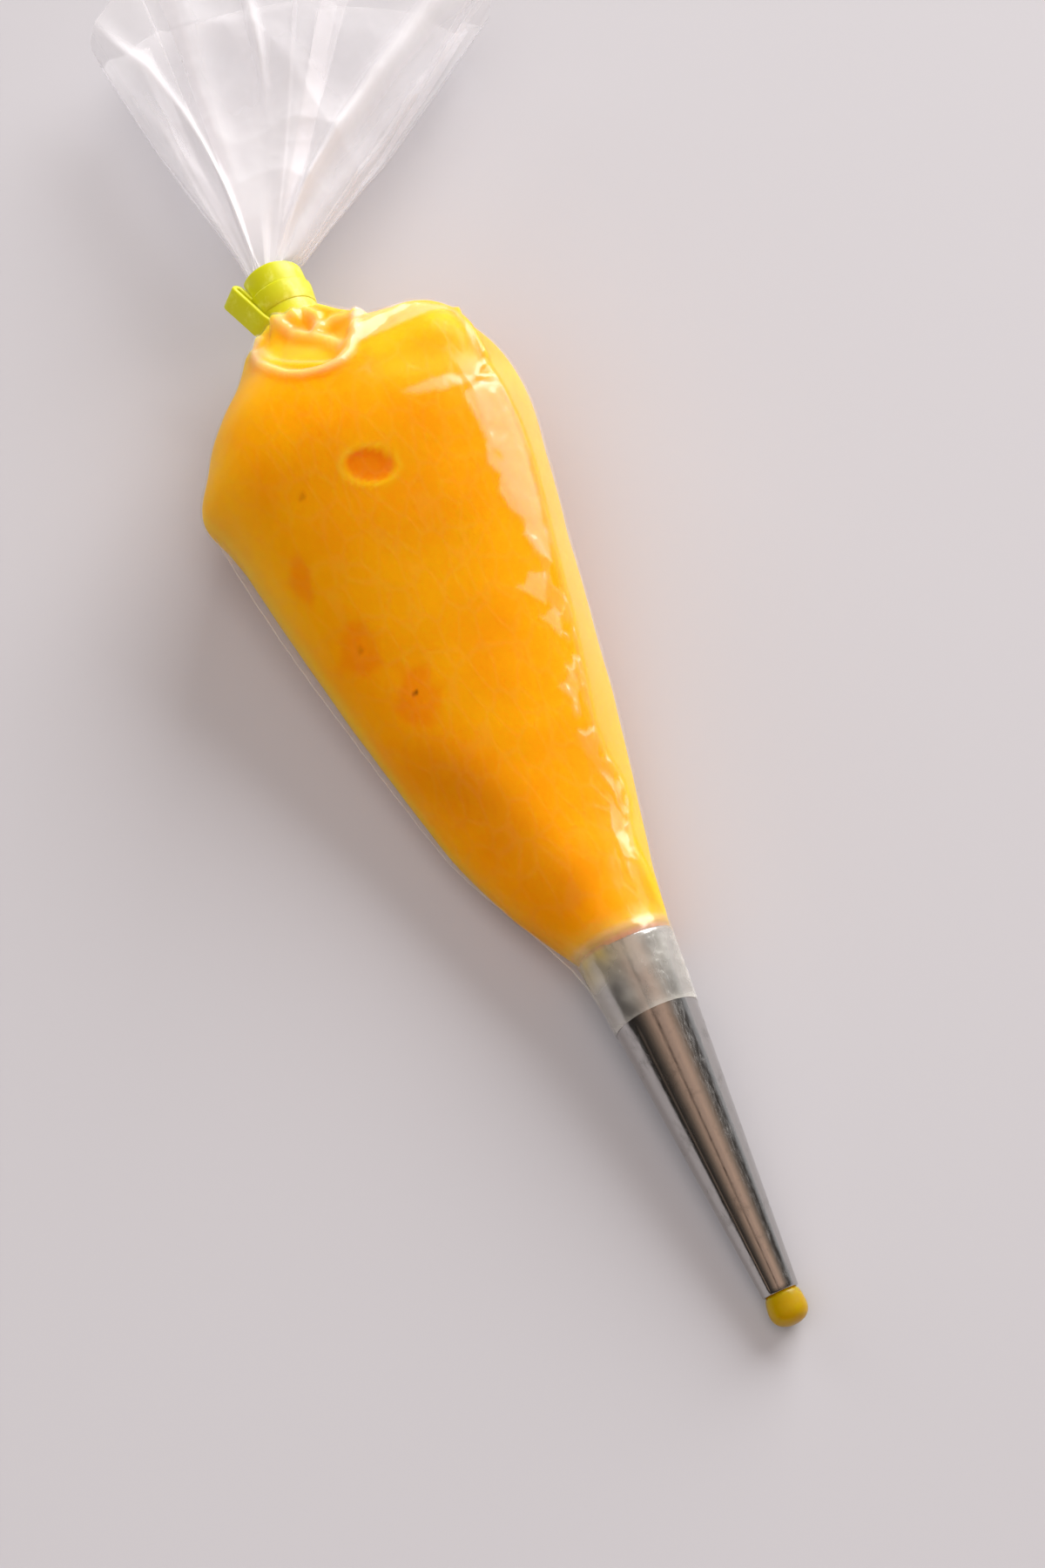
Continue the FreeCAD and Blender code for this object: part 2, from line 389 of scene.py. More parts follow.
# Clear film: light passes through, and gloss, haze and creases build up where it turns away
def filmMaterial(name, look):
    made, tree, surface, output = newMaterial(name)
    creases = useGroup(tree, crinkle, Size=look["creaseSize"], Stretch=look["stretch"], Seed=look["seed"])
    facing = put(tree, "LayerWeight", Blend=look["blend"]).outputs["Facing"]
    turned = maths(tree, "POWER", facing, look["edgePower"])
    turnedShare = maths(tree, "MULTIPLY_ADD", turned, look["edge"])
    turnedShare.node.inputs[2].default_value = look["clear"]
    # the haze mask holds real milky film and painted highlights
    haze = maskOf(tree, "haze")
    hazeShare = maths(tree, "MULTIPLY_ADD", haze, look["haze"])
    tree.links.new(turnedShare, hazeShare.node.inputs[2])
    gapShare = maths(tree, "MULTIPLY_ADD", maskOf(tree, "gap"), look["gap"])
    tree.links.new(hazeShare, gapShare.node.inputs[2])
    smear = maskOf(tree, "smear")
    creaseShare = maths(tree, "MULTIPLY_ADD", creases["Crease"], look["crease"])
    tree.links.new(gapShare, creaseShare.node.inputs[2])
    share = maths(tree, "MULTIPLY_ADD", smear, look["smearShare"])
    tree.links.new(creaseShare, share.node.inputs[2])
    share.node.use_clamp = True
    tree.links.new(mixColors(tree, smear, look["color"], look["smear"]), surface.inputs["Base Color"])
    shine = maths(tree, "MULTIPLY_ADD", haze, -look["metallic"])
    shine.node.inputs[2].default_value = look["metallic"]
    tree.links.new(shine, surface.inputs["Metallic"])
    surface.inputs["Roughness"].default_value = look["roughness"]
    surface.inputs["Specular IOR Level"].default_value = look["specular"]
    bumpInto(tree, surface, creases["Height"], look["bump"], 0.0004)
    clear = put(tree, "BsdfTransparent", Color=(0.985, 0.985, 0.985, 1.0))
    mixed = put(tree, "MixShader", i0=share, i1=clear.outputs[0], i2=surface.outputs[0])
    tree.links.new(mixed.outputs[0], output.inputs["Surface"])
    return made


filmLook = dict(
    color=(0.97, 0.94, 0.86, 1.0),
    smear=(0.62, 0.42, 0.03, 1.0),
    smearShare=0.6,
    metallic=0.45,
    roughness=0.2,
    specular=0.5,
    clear=0.004,
    edge=0.11,
    edgePower=3.0,
    blend=0.5,
    haze=0.42,
    gap=0.05,
    crease=0.012,
    creaseSize=260.0,
    stretch=0.5,
    seed=1.0,
    bump=0.2,
)
bodyFilm = filmMaterial("bodyFilm", filmLook)
tailLook = {**filmLook, "color": (0.95, 0.93, 0.96, 1.0)}
tailLook.update(clear=0.08, edge=0.22, edgePower=1.8, haze=0.46)
tailLook.update(metallic=0.0, roughness=0.5, specular=0.12, bump=0.12, creaseSize=90.0)
tailFilm = filmMaterial("tailFilm", tailLook)


def tieMaterial():
    made, tree, surface, output = newMaterial("limeSilicone")
    look = dict(color=(0.64, 0.64, 0.008, 1.0), worn=(0.80, 0.81, 0.13, 1.0))
    lines = useGroup(tree, brushed, Across=900.0, Along=500.0, Marks=0.8)
    color = mixColors(tree, lines["Marks"], look["color"], look["worn"])
    tree.links.new(color, surface.inputs["Base Color"])
    tree.links.new(spread(tree, lines["Lines"], 0.2, 0.8, 0.34, 0.5), surface.inputs["Roughness"])
    surface.inputs["Subsurface Weight"].default_value = 0.35
    surface.inputs["Subsurface Radius"].default_value = (0.8, 1.0, 0.1)
    surface.inputs["Subsurface Scale"].default_value = 0.0015
    bumpInto(tree, surface, lines["Lines"], 0.15, 0.0002)
    return made


def steelMaterial():
    made, tree, surface, output = newMaterial("drawnSteel")
    lines = useGroup(tree, brushed, Across=2600.0, Along=16.0, Marks=0.7)
    clean, dull = (0.50, 0.485, 0.47, 1.0), (0.36, 0.345, 0.33, 1.0)
    tree.links.new(mixColors(tree, lines["Marks"], clean, dull), surface.inputs["Base Color"])
    surface.inputs["Metallic"].default_value = 1.0
    rough = spread(tree, lines["Lines"], 0.3, 0.7, 0.13, 0.24)
    rough = maths(tree, "ADD", rough, maths(tree, "MULTIPLY", lines["Marks"], 0.14))
    tree.links.new(rough, surface.inputs["Roughness"])
    bumpInto(tree, surface, lines["Lines"], 0.05, 0.0001)
    return made


limeSilicone = tieMaterial()
drawnSteel = steelMaterial()
print("materials made")

# the filled bag
bag = dict(
    # x, left, right, underside, top, squareness: from the neck to the nozzle's wide end
    sections=[
        (-75.0, -13.7, -4.3, 14.3, 23.7, 2.0),
        (-73.1, -14.1, -3.9, 13.9, 24.1, 2.0),
        (-72.3, -15.8, -2.0, 12.2, 26.0, 2.0),
        (-71.0, -17.6, 0.6, 10.4, 27.6, 2.0),
        (-69.0, -20.8, 5.0, 7.8, 29.2, 2.1),
        (-65.4, -24.0, 13.8, 3.8, 31.8, 2.2),
        (-60.0, -28.0, 20.0, 0.2, 35.8, 2.3),
        (-54.0, -33.2, 23.8, -1.4, 39.8, 2.35),
        (-46.0, -38.6, 28.2, -2.4, 43.0, 2.3),
        (-37.0, -42.2, 29.6, -2.8, 43.6, 2.2),
        (-22.0, -39.6, 28.0, -2.8, 39.6, 2.2),
        (-4.0, -36.3, 25.2, -2.6, 33.6, 2.2),
        (14.0, -32.5, 22.6, -2.4, 28.2, 2.2),
        (32.0, -28.4, 19.8, -2.2, 23.9, 2.15),
        (50.0, -23.9, 16.2, -2.0, 21.0, 2.1),
        (66.0, -17.6, 12.7, -1.0, 20.6, 2.05),
        (79.6, -10.15, 10.15, 0.8, 21.2, 2.0),
    ],
    rows=330,
    columns=300,
    curdRows=240,
    curdColumns=220,
    flatAt=0.35,
)


# Points of the filled body: rows from the neck to the rim, columns round it
def bodyGrid(rows, columns, inset):
    table = resample(bag["sections"], rows)
    angle = 2 * np.pi * np.arange(columns) / columns
    c, s = np.cos(angle)[None, :], np.sin(angle)[None, :]
    x, left, right, low, top, power = (table[:, k][:, None] for k in range(6))
    cc = np.sign(c) * np.abs(c) ** (2 / power)
    ss = np.sign(s) * np.abs(s) ** (2 / power)
    y = (left + right) / 2 + ((right - left) / 2 - inset) * cc
    z = (low + top) / 2 + ((top - low) / 2 - inset) * ss
    # the underside lies flat on the worktop, with a soft turn at its edge
    floorAt = bag["flatAt"] + inset
    over = z - floorAt
    z = floorAt + (over + np.sqrt(over ** 2 + 0.8)) / 2
    return np.stack([np.broadcast_to(x, y.shape), y, z], axis=2)


# A soft patch on the top side, 1 at its centre: centre and size in plan
def bump(points, up, centre, size, heading=0.0):
    h = math.radians(heading)
    dx, dy = points[..., 0] - centre[0], points[..., 1] - centre[1]
    u = (dx * math.cos(h) + dy * math.sin(h)) / size[0]
    v = (-dx * math.sin(h) + dy * math.cos(h)) / size[1]
    return np.exp(-(u ** 2 + v ** 2)) * step(-0.1, 0.3, up)


# lines of folds seen from above, with their height, half width and how milky the film is there, partly real
# milky film and partly painted highlight
folds = [
    dict(
        line=[(-68.4, -18.2), (-65.6, -20.4), (-60, -20.9), (-55.5, -20.0), (-51.4, -18.0), (-49.0, -15.0)]
        + [(-47.8, -10.6), (-48.2, -7.3), (-50.4, -4.3), (-53.5, -1.9), (-57, -0.4), (-60.5, 0.8)],
        height=0.9,
        width=1.0,
        milkAndSheen=0.62,
    ),
    dict(
        line=[(-69.0, -13.2), (-65.8, -11.9), (-62.3, -9.7), (-58.1, -6.6), (-53.0, -4.8)],
        height=1.4,
        width=1.5,
        milkAndSheen=0.46,
    ),
    dict(line=[(-62.3, -7.2), (-62.8, -3.8), (-61.0, 0.0), (-60.6, 2.3)], height=1.2, width=1.2, milkAndSheen=0.44),
    dict(
        line=[(-70.4, -12.8), (-69.4, -10.4), (-69.6, -7.2), (-66.0, -6.0), (-63.6, -6.4)],
        height=1.5,
        width=1.4,
        milkAndSheen=0.42,
    ),
    dict(line=[(-58.6, -17.6), (-54.1, -14.3), (-50.2, -8.8)], height=0.5, width=0.55, milkAndSheen=0.36),
    dict(line=[(-64.2, -19.2), (-61.4, -18.8), (-59.4, -18.2)], height=0.4, width=1.2, milkAndSheen=0.40),
    dict(line=[(-69.6, -4.4), (-65.7, -1.8), (-61.7, 1.8)], height=0.7, width=1.0, milkAndSheen=0.26),
    # the shoulder's top edge, its right edge and the puckers below it
    dict(
        line=[(-55.0, -1.0), (-57.0, 5), (-58.4, 11), (-58.0, 17), (-56.0, 20.4)],
        height=1.6,
        width=2.2,
        milkAndSheen=0.10,
    ),
    dict(line=[(-54.6, 20.2), (-50.0, 20.6), (-46.0, 20.9), (-41.4, 21.4)], height=0.9, width=0.9, milkAndSheen=0.30),
    dict(line=[(-44.5, 0), (-45, 9), (-44, 15)], height=-0.5, width=4.0, milkAndSheen=0.0),
    dict(line=[(-39.6, 21.6), (-38.0, 18.8), (-36.0, 17.6), (-35.8, 20.4)], height=0.3, width=0.5, milkAndSheen=0.30),
]
# flat places seen from above with painted highlights, where the film is painted whitish and the filling
# behind it painted paler
facets = dict(
    strip=dict(
        outline=[(-61.8, 1.6), (-60.4, 7), (-58.1, 13.4), (-56.4, 19.6), (-54.2, 19.2), (-52.9, 12.4)]
        + [(-52.4, 5.3), (-51.8, -1.8), (-56.0, -0.6)],
        soft=0.7,
        milkAndSheen=0.42,
        paleLight=1.0,
    ),
    shoulder=dict(
        outline=[(-52.8, -1.0), (-52.9, 12), (-53.2, 19.4), (-46.7, 20.4), (-40.5, 20.8)]
        + [(-38.5, 15), (-38.2, 7), (-42.0, 0.0)],
        soft=1.6,
        milkAndSheen=0.0,
        paleLight=0.55,
    ),
    wedge=dict(
        outline=[(-36.4, 1.9), (-37.2, 8.4), (-37.3, 13), (-35.8, 16.8), (-34.9, 14), (-34.6, 9.6)]
        + [(-35.2, 4.0)],
        soft=0.7,
        milkAndSheen=0.36,
        paleLight=0.8,
    ),
    band=dict(
        outline=[(-32.6, 13.6), (-34.4, 17.5), (-36.0, 21.4), (-33, 22.5), (-23.2, 22.3), (-10.3, 20.2)]
        + [(3.0, 17.6), (1.2, 15.6), (-3.1, 14.2), (-6.2, 15.4), (-8.3, 13.8), (-12.4, 12.7)]
        + [(-15.6, 14.2), (-18.0, 12.9), (-24.0, 14.4)],
        soft=0.45,
        milkAndSheen=0.46,
        paleLight=1.0,
    ),
    patchA=dict(
        outline=[(6.6, 8.2), (6.2, 10.4), (4.4, 12.2), (5.2, 15.4), (9.0, 13.6), (11.2, 12.8), (9.0, 10.8)],
        soft=0.4,
        milkAndSheen=0.34,
        paleLight=0.9,
    ),
    patchB=dict(
        outline=[(13.4, 10.4), (13.2, 12.2), (12.0, 14.2), (15.6, 14.4), (18.2, 12.9), (15.4, 12.0)],
        soft=0.35,
        milkAndSheen=0.32,
        paleLight=0.9,
    ),
    patchC=dict(
        outline=[(27.6, 8.0), (27.2, 10.4), (25.6, 12.2), (29.0, 12.4), (31.6, 10.6)],
        soft=0.4,
        milkAndSheen=0.26,
        paleLight=0.8,
    ),
    patchD=dict(
        outline=[(60.2, 6.4), (59.4, 8.8), (57.2, 10.8), (61.0, 10.4), (65.4, 7.8)],
        soft=0.4,
        milkAndSheen=0.24,
        paleLight=0.9,
    ),
)
hollow = dict(centre=(-58.4, -10.6), size=(10.4, 9.8), depth=1.7)
saddle = dict(line=[(-70.5, 3.0), (-66.5, 5.5), (-62.5, 7.0)], depth=2.0, width=3.0)
# the crease pressed into the film along the right side
pressed = [(-38, 21.4), (-33.5, 22.1), (-27.1, 22.6), (-19.8, 22.4), (-10.7, 21.0), (-1.7, 19.4), (7.4, 17.9)]
pressed += [(14.7, 16.7), (22.0, 15.2), (29.2, 13.6), (36.4, 12.0), (41.9, 11.6), (47.7, 12.6)]
pressed += [(53.3, 12.2), (59, 9.7)]


# The body's own shape: corners, shoulder ridges, the cup of folds beside the neck
def shaped(grid):
    normal = gridNormals(grid)
    up = normal[..., 2]
    onTop = step(0.0, 0.4, up)
    x, y, z = grid[..., 0], grid[..., 1], grid[..., 2]
    push = 1.6 * near(x, -37, 5) * near(y, -42, 7) * near(z, 19, 11)
    push += 2.8 * bump(grid, up, (-50, 15), (7.5, 7.0))
    push -= saddle["depth"] * along(grid, saddle["line"], saddle["width"]) * onTop
    dx, dy = (x - hollow["centre"][0]) / hollow["size"][0], (y - hollow["centre"][1]) / hollow["size"][1]
    push -= hollow["depth"] * step(1.0, 0.66, np.hypot(dx, dy)) * onTop * step(-70.5, -66.0, x)
    for fold in folds:
        push += fold["height"] * along(grid, fold["line"], fold["width"]) * onTop
    # gathers that run into the neck
    gather = step(-62, -70, x)
    turn = np.arctan2(z - neckAt[2], y - neckAt[1])
    push += 0.35 * gather * (np.sin(13 * turn + 1.2 * np.sin(3 * turn)) + 0.5 * np.sin(23 * turn + 2.0))
    return grid + normal * (push * step(-73.0, -71.8, x))[..., None]


features = dict(
    dimple=dict(centre=(-25.0, -10.2), size=(4.9, 3.2), heading=66.0),
    pockets=[((6.0, -26.0), (6.6, 5.0)), ((18.5, -18.2), (7.6, 5.4)), ((-12.0, -31.0), (5.0, 2.4))],
    specks=[((-25.2, -25.0), 0.85, 0.5), ((18.4, -18.9), 0.6, 1.0), ((6.0, -25.6), 1.0, 0.35)],
    # painted light: a patch by the neck where the filling is painted paler
    paleLight=dict(centre=(-58, -8), size=(9, 13)),
    # painted shade: a dark line low along the side towards the nozzle
    deep=[(22, -25), (31, -21.6), (45.6, -14.8), (59.8, -9.7), (67.3, -7.0)],
)


def curdBody():
    grid = shaped(bodyGrid(bag["curdRows"], bag["curdColumns"], 0.25))
    normal = gridNormals(grid)
    up = normal[..., 2]
    flat = grid.reshape(-1, 3)
    lumps = perlin(flat / 9.0, 3).reshape(up.shape)
    push = 0.22 * lumps
    # the air bubble pressed against the film
    dimple = features["dimple"]
    turn = math.radians(dimple["heading"])
    dx, dy = grid[..., 0] - dimple["centre"][0], grid[..., 1] - dimple["centre"][1]
    u = (dx * math.cos(turn) + dy * math.sin(turn)) / dimple["size"][0]
    v = (-dx * math.sin(turn) + dy * math.cos(turn)) / dimple["size"][1]
    away = np.hypot(u, v)
    onTop = step(0.2, 0.5, up)
    push -= 0.6 * step(1.05, 0.75, away) * onTop
    push += 0.15 * near(away, 1.2, 0.16) * onTop
    pocket = 0.62 * step(1.06, 0.9, away) * onTop
    for centre, size in features["pockets"]:
        ragged = bump(grid, up, centre, size) + 0.5 * perlin(flat / 4.2, 11).reshape(up.shape)
        mask = step(0.34, 0.80, ragged)
        pocket = np.maximum(pocket, 0.42 * mask)
        push -= 0.12 * mask
    # painted shade: a broad dark streak along the deep line low on the side, and a thin dark line in the
    # pressed crease
    speckAndShade = 0.40 * along(grid, features["deep"], 7.5) * step(15, 40, grid[..., 0]) * step(-0.2, 0.3, up)
    speckAndShade = np.maximum(speckAndShade, 0.22 * along(grid, pressed, 0.5) * onTop)
    for (atX, atY), radius, strength in features["specks"]:
        gone = np.hypot(grid[..., 0] - atX, grid[..., 1] - atY)
        speckAndShade = np.maximum(speckAndShade, strength * step(radius, radius * 0.4, gone) * onTop)
    grid = grid + normal * push[..., None]
    rows, columns = up.shape
    faces = gridFaces(rows, columns)
    ends = [grid[0].mean(0), grid[-1].mean(0)]
    points = np.concatenate([grid.reshape(-1, 3), ends])
    first, last = rows * columns, rows * columns + 1
    for j in range(columns):
        k = (j + 1) % columns
        faces.append((first, k, j))
        faces.append((last, (rows - 1) * columns + j, (rows - 1) * columns + k))
    made = meshObject("curdBody", points, faces, curd, "bag")
    storeMask(made, "pocket", np.append(pocket.ravel(), [0, 0]))
    storeMask(made, "speckAndShade", np.append(speckAndShade.ravel(), [0, 0]))
    # painted light: the pale mask lightens the filling by the neck, on the lit facets, beyond the pressed
    # crease, along the left and lower edges, at the end by the rim and on the dimple's raised ring
    (atX, atY), (sizeX, sizeY) = features["paleLight"]["centre"], features["paleLight"]["size"]
    gone = np.hypot((grid[..., 0] - atX) / sizeX, (grid[..., 1] - atY) / sizeY)
    paleLight = step(1.25, 0.75, gone) * onTop
    paleLight = np.maximum(paleLight, step(-60, -70, grid[..., 0]))
    for facet in facets.values():
        paleLight = np.maximum(paleLight, facet["paleLight"] * within(grid, facet["outline"], facet["soft"]) * onTop)
    line = np.array(pressed)
    beyond = grid[..., 1] - np.interp(grid[..., 0], line[:, 0], line[:, 1])
    paleLight = np.maximum(paleLight, step(-1.2, 0.2, beyond) * step(-44, -38, grid[..., 0]) * step(-0.4, 0.1, up))
    # painted light along the upper left edge
    leftEdge = step(-30, -38, grid[..., 1]) * step(5, -20, grid[..., 0]) * step(-0.2, 0.2, up)
    paleLight = np.maximum(paleLight, 0.5 * leftEdge)
    # painted light along the lower edge
    rim = step(0.5, 0.15, up) * step(-0.6, -0.2, up)
    rim = rim * step(-8, -16, grid[..., 1]) * step(70, 40, grid[..., 0])
    paleLight = np.maximum(paleLight, 0.9 * rim)
    # painted light at the filling's end by the rim
    paleLight = np.maximum(paleLight, 0.6 * step(74.5, 78.0, grid[..., 0]))
    # painted highlight on the dimple's raised ring
    paleLight = np.maximum(paleLight, 0.8 * near(away, 1.2, 0.12) * onTop)
    storeMask(made, "paleLight", np.append(paleLight.ravel(), [0, 0]))
    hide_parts("filling_body")
    return made


def bagFilm():
    body = shaped(bodyGrid(bag["rows"], bag["columns"], 0.0))
    # the sleeve on the nozzle, cut straight across at its end
    angle = 2 * np.pi * np.arange(bag["columns"]) / bag["columns"]
    sleeve = []
    sleeveRows = 34
    for i in range(1, sleeveRows + 1):
        share = i / sleeveRows
        station = share * (sleeveEnd - rimAt[0]) - 0.9 * share * np.sin(angle)
        radius = nozzleRadius(station) + 0.16
        row = [onAxis(st, r * math.cos(a), r * math.sin(a)) for st, r, a in zip(station, radius, angle)]
        sleeve.append(row)
    neckRows = []
    for x in np.linspace(tieBack + 2.0, -75.6, 14):
        ring = 4.8 + 0.25 * np.sin(13 * angle + 1.2 * np.sin(3 * angle))
        y, z = neckAt[1] + ring * np.cos(angle), neckAt[2] + ring * np.sin(angle)
        neckRows.append(np.stack([np.full_like(angle, x), y, z], axis=1))
    grid = np.concatenate([np.array(neckRows), body, np.array(sleeve)])
    normal = gridNormals(grid)
    up = normal[..., 2]
    x, y = grid[..., 0], grid[..., 1]
    flat = grid.reshape(-1, 3)
    shape = up.shape
    # where the film stands loose: a band inside the pressed crease, by the rim and at the full end
    line = np.array(pressed)
    creaseY = np.interp(x, line[:, 0], line[:, 1])
    side = step(0.05, 0.35, up)
    inward = creaseY - y
    drift = perlin(flat / 14.0, 5).reshape(shape)
    tatter = perlin(flat / np.array([5.0, 2.4, 3.0]), 15).reshape(shape)
    inner = 7.4 + 2.2 * drift - 3.2 * step(-12, 6, x)
    inBand = step(0.0, 0.7, inner - inward) * step(-0.4, 0.3, inward) * side
    inBand = inBand * step(-43, -38, x) * step(72, 66, x)
    torn = step(-12, 4, x) * (1 - 0.8 * step(50, 58, x))
    patches = step(0.02, 0.14, tatter + 0.10 - 0.02 * np.maximum(inward - 2, 0))
    band = inBand * (1 - torn * (1 - patches))
    band = np.maximum(band, 0.3 * bump(grid, up, (61.5, 7.6), (3.2, 1.8), 100) * patches)
    tight = creased(flat * np.array([0.6, 1.0, 1.0]), 8.0, 21, 3).reshape(shape)
    fine = creased(flat, 3.2, 31, 2).reshape(shape)
    # long flat facets that each end in a short slanting drop
    facet = np.mod(x / 12.5 + 0.09 * inward + 0.9 * drift + 0.2, 1.0)
    saw = np.where(facet < 0.8, facet / 0.8, (1 - facet) / 0.2)
    rise = np.interp(x, [-44, -14, 2, 20, 60], [0.0, 0.12, 0.35, 0.35, 0.3])
    push = 0.10 + band * (0.12 + rise * saw + 0.18 * tight ** 2) + 0.10 * tight ** 3 + 0.05 * fine ** 2
    push += 0.25 * step(-46, -60, x) * tight ** 2
    push += 0.35 * along(grid, pressed, 0.45) * side
    inSleeve = step(79.5, 81.0, x)
    sleeveFolds = 0.02 + 0.16 * creased(flat, 3.4, 41, 2).reshape(shape) ** 3
    push = push * (1 - inSleeve) + sleeveFolds * inSleeve
    push *= step(-75.5, -71.5, x)
    push *= step(0.2, 2.0, grid[..., 2])
    # milk along the folds is partly real milky film and partly painted highlight; the strip beyond the
    # pressed crease and the flat facets are painted highlight
    milkAndSheen = sum(fold["milkAndSheen"] * along(grid, fold["line"], fold["width"] * 0.8) for fold in folds) * side
    outer = step(0.3, 1.6, -inward) * step(-0.2, 0.15, up) * step(-60, -28, x) * (1 - 0.45 * step(0, 60, x))
    milkAndSheen = milkAndSheen + 0.10 * along(grid, pressed, 0.5) * side + 0.05 * band + 0.34 * outer
    for facet in facets.values():
        ragged = 0.6 * perlin(flat / 1.3, 91).reshape(shape)
        milkAndSheen = milkAndSheen + facet["milkAndSheen"] * within(grid + ragged[..., None], facet["outline"], facet["soft"]) * side
    # a small spot is left out of the painted highlight
    milkAndSheen = milkAndSheen * (1 - 0.8 * bump(grid, up, (-19.5, 15.4), (1.3, 0.7), 20))
    gap = 0.6 * band + 0.4 * outer + 0.3 * along(grid, pressed, 0.5) * side
    grid = grid + normal * push[..., None]
    rows, columns = shape
    made = meshObject("bagFilm", grid, gridFaces(rows, columns), bodyFilm, "bag")
    droplets = step(0.42, 0.6, perlin(flat / 0.75, 81).reshape(shape))
    blotch = perlin(flat / 4.0, 83).reshape(shape)
    sleeveMilkAndLight = 0.50 + 0.55 * blotch + 0.25 * near(x, sleeveEnd, 1.0)
    sleeveMilkAndLight = sleeveMilkAndLight + 0.4 * droplets * near(x, sleeveEnd - 5.0, 6.0)
    # painted light: the sleeve is painted whiter on the side towards the window
    sleeveMilkAndLight = sleeveMilkAndLight + 0.2 * step(-2, 6, y)
    # painted light: the film just before the rim is made hazier to lighten the filling's end
    milkAndSheen = milkAndSheen + 0.14 * step(74.0, 79.5, x) * step(-0.4, 0.2, up)
    haze = np.clip(milkAndSheen * (1 - inSleeve) + 0.5 * step(-73, -76, x) + sleeveMilkAndLight * inSleeve, 0, 1)
    storeMask(made, "haze", haze)
    storeMask(made, "gap", np.clip(gap * (1 - inSleeve), 0, 1))
    smear = step(89.5, 80.5, x) * step(2.5, -6.5, y) * (0.65 + 0.5 * blotch) * inSleeve
    smear = np.maximum(smear, 0.55 * step(81.6, 79.8, x + 0.8 * blotch) * step(77.5, 79.5, x))
    storeMask(made, "smear", np.clip(smear, 0, 1))
    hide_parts("bag_film", "gathered_neck")
    return made


# The flat sealed edge that stands out of the bag's left side
def sideWeld():
    edge = resample(
        [
            (-36.0, -43.2, 19.6, 0.9),
            (-18.0, -40.6, 17.3, 1.4),
            (0.0, -37.1, 14.6, 1.4),
            (17.0, -33.1, 12.3, 1.1),
            (34.0, -29.0, 10.4, 1.0),
            (52.0, -24.0, 9.3, 0.9),
            (70.0, -15.6, 9.4, 1.4),
            (84.0, -10.4, 9.8, 1.9),
            (92.0, -9.1, 9.9, 1.0),
        ],
        180,
    )
    across = 10
    grid = np.zeros((len(edge), across, 3))
    for j in range(across):
        share = j / (across - 1)
        grid[:, j, 0] = edge[:, 0]
        grid[:, j, 1] = edge[:, 1] + edge[:, 3] * share
        ripple = 0.25 * np.sin(edge[:, 0] * 0.9 + 1.5 * np.sin(edge[:, 0] * 0.23)) * (1 - share)
        grid[:, j, 2] = edge[:, 2] + ripple
    made = meshObject("weldEdge", grid, gridFaces(len(edge), across, closed=False), bodyFilm, "bag")
    solid = made.modifiers.new("thickness", "SOLIDIFY")
    solid.thickness = 0.12 * mm
    haze = np.full(grid.shape[:2], 0.12)
    haze[:, :2] = 0.5
    storeMask(made, "haze", haze)
    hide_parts("side_weld")
    return made


curdBody()
filmPiece = bagFilm()
weldPiece = sideWeld()
print("filled bag made")

tieBand = dict(
    width=5.2,
    thickness=1.2,
    turns=3.1,
    edgeRound=0.45,
    steps=300,
    lean=1.5,
    front=-72.6,
    back=-86.0,
)

# the open tail
tail = dict(
    heading=23.0,
    halfFan=31.0,
    apex=(-78.7, -12.3),
    startAt=8.0,
    mouthCentre=(-103.0, 6.0),
    mouthRadius=62.0,
    rows=170,
    columns=460,
    floorGap=0.5,
    # place across the fan, drift outward, height, width, where it starts and ends, how milky its crest is
    crests=[
        (-0.95, 0.0, 1.6, 0.06, 0.0, 1.0, 0.12),
        (-0.78, -0.40, 4.0, 0.055, 0.05, 0.80, 0.38),
        (-0.46, -0.05, 2.0, 0.10, 0.25, 1.0, 0.24),
        (-0.12, -0.18, 2.0, 0.030, 0.50, 1.0, 0.42),
        (0.22, 0.10, 1.8, 0.16, 0.15, 0.8, 0.14),
        (0.66, 0.62, 4.2, 0.085, 0.12, 1.0, 0.70),
    ],
)


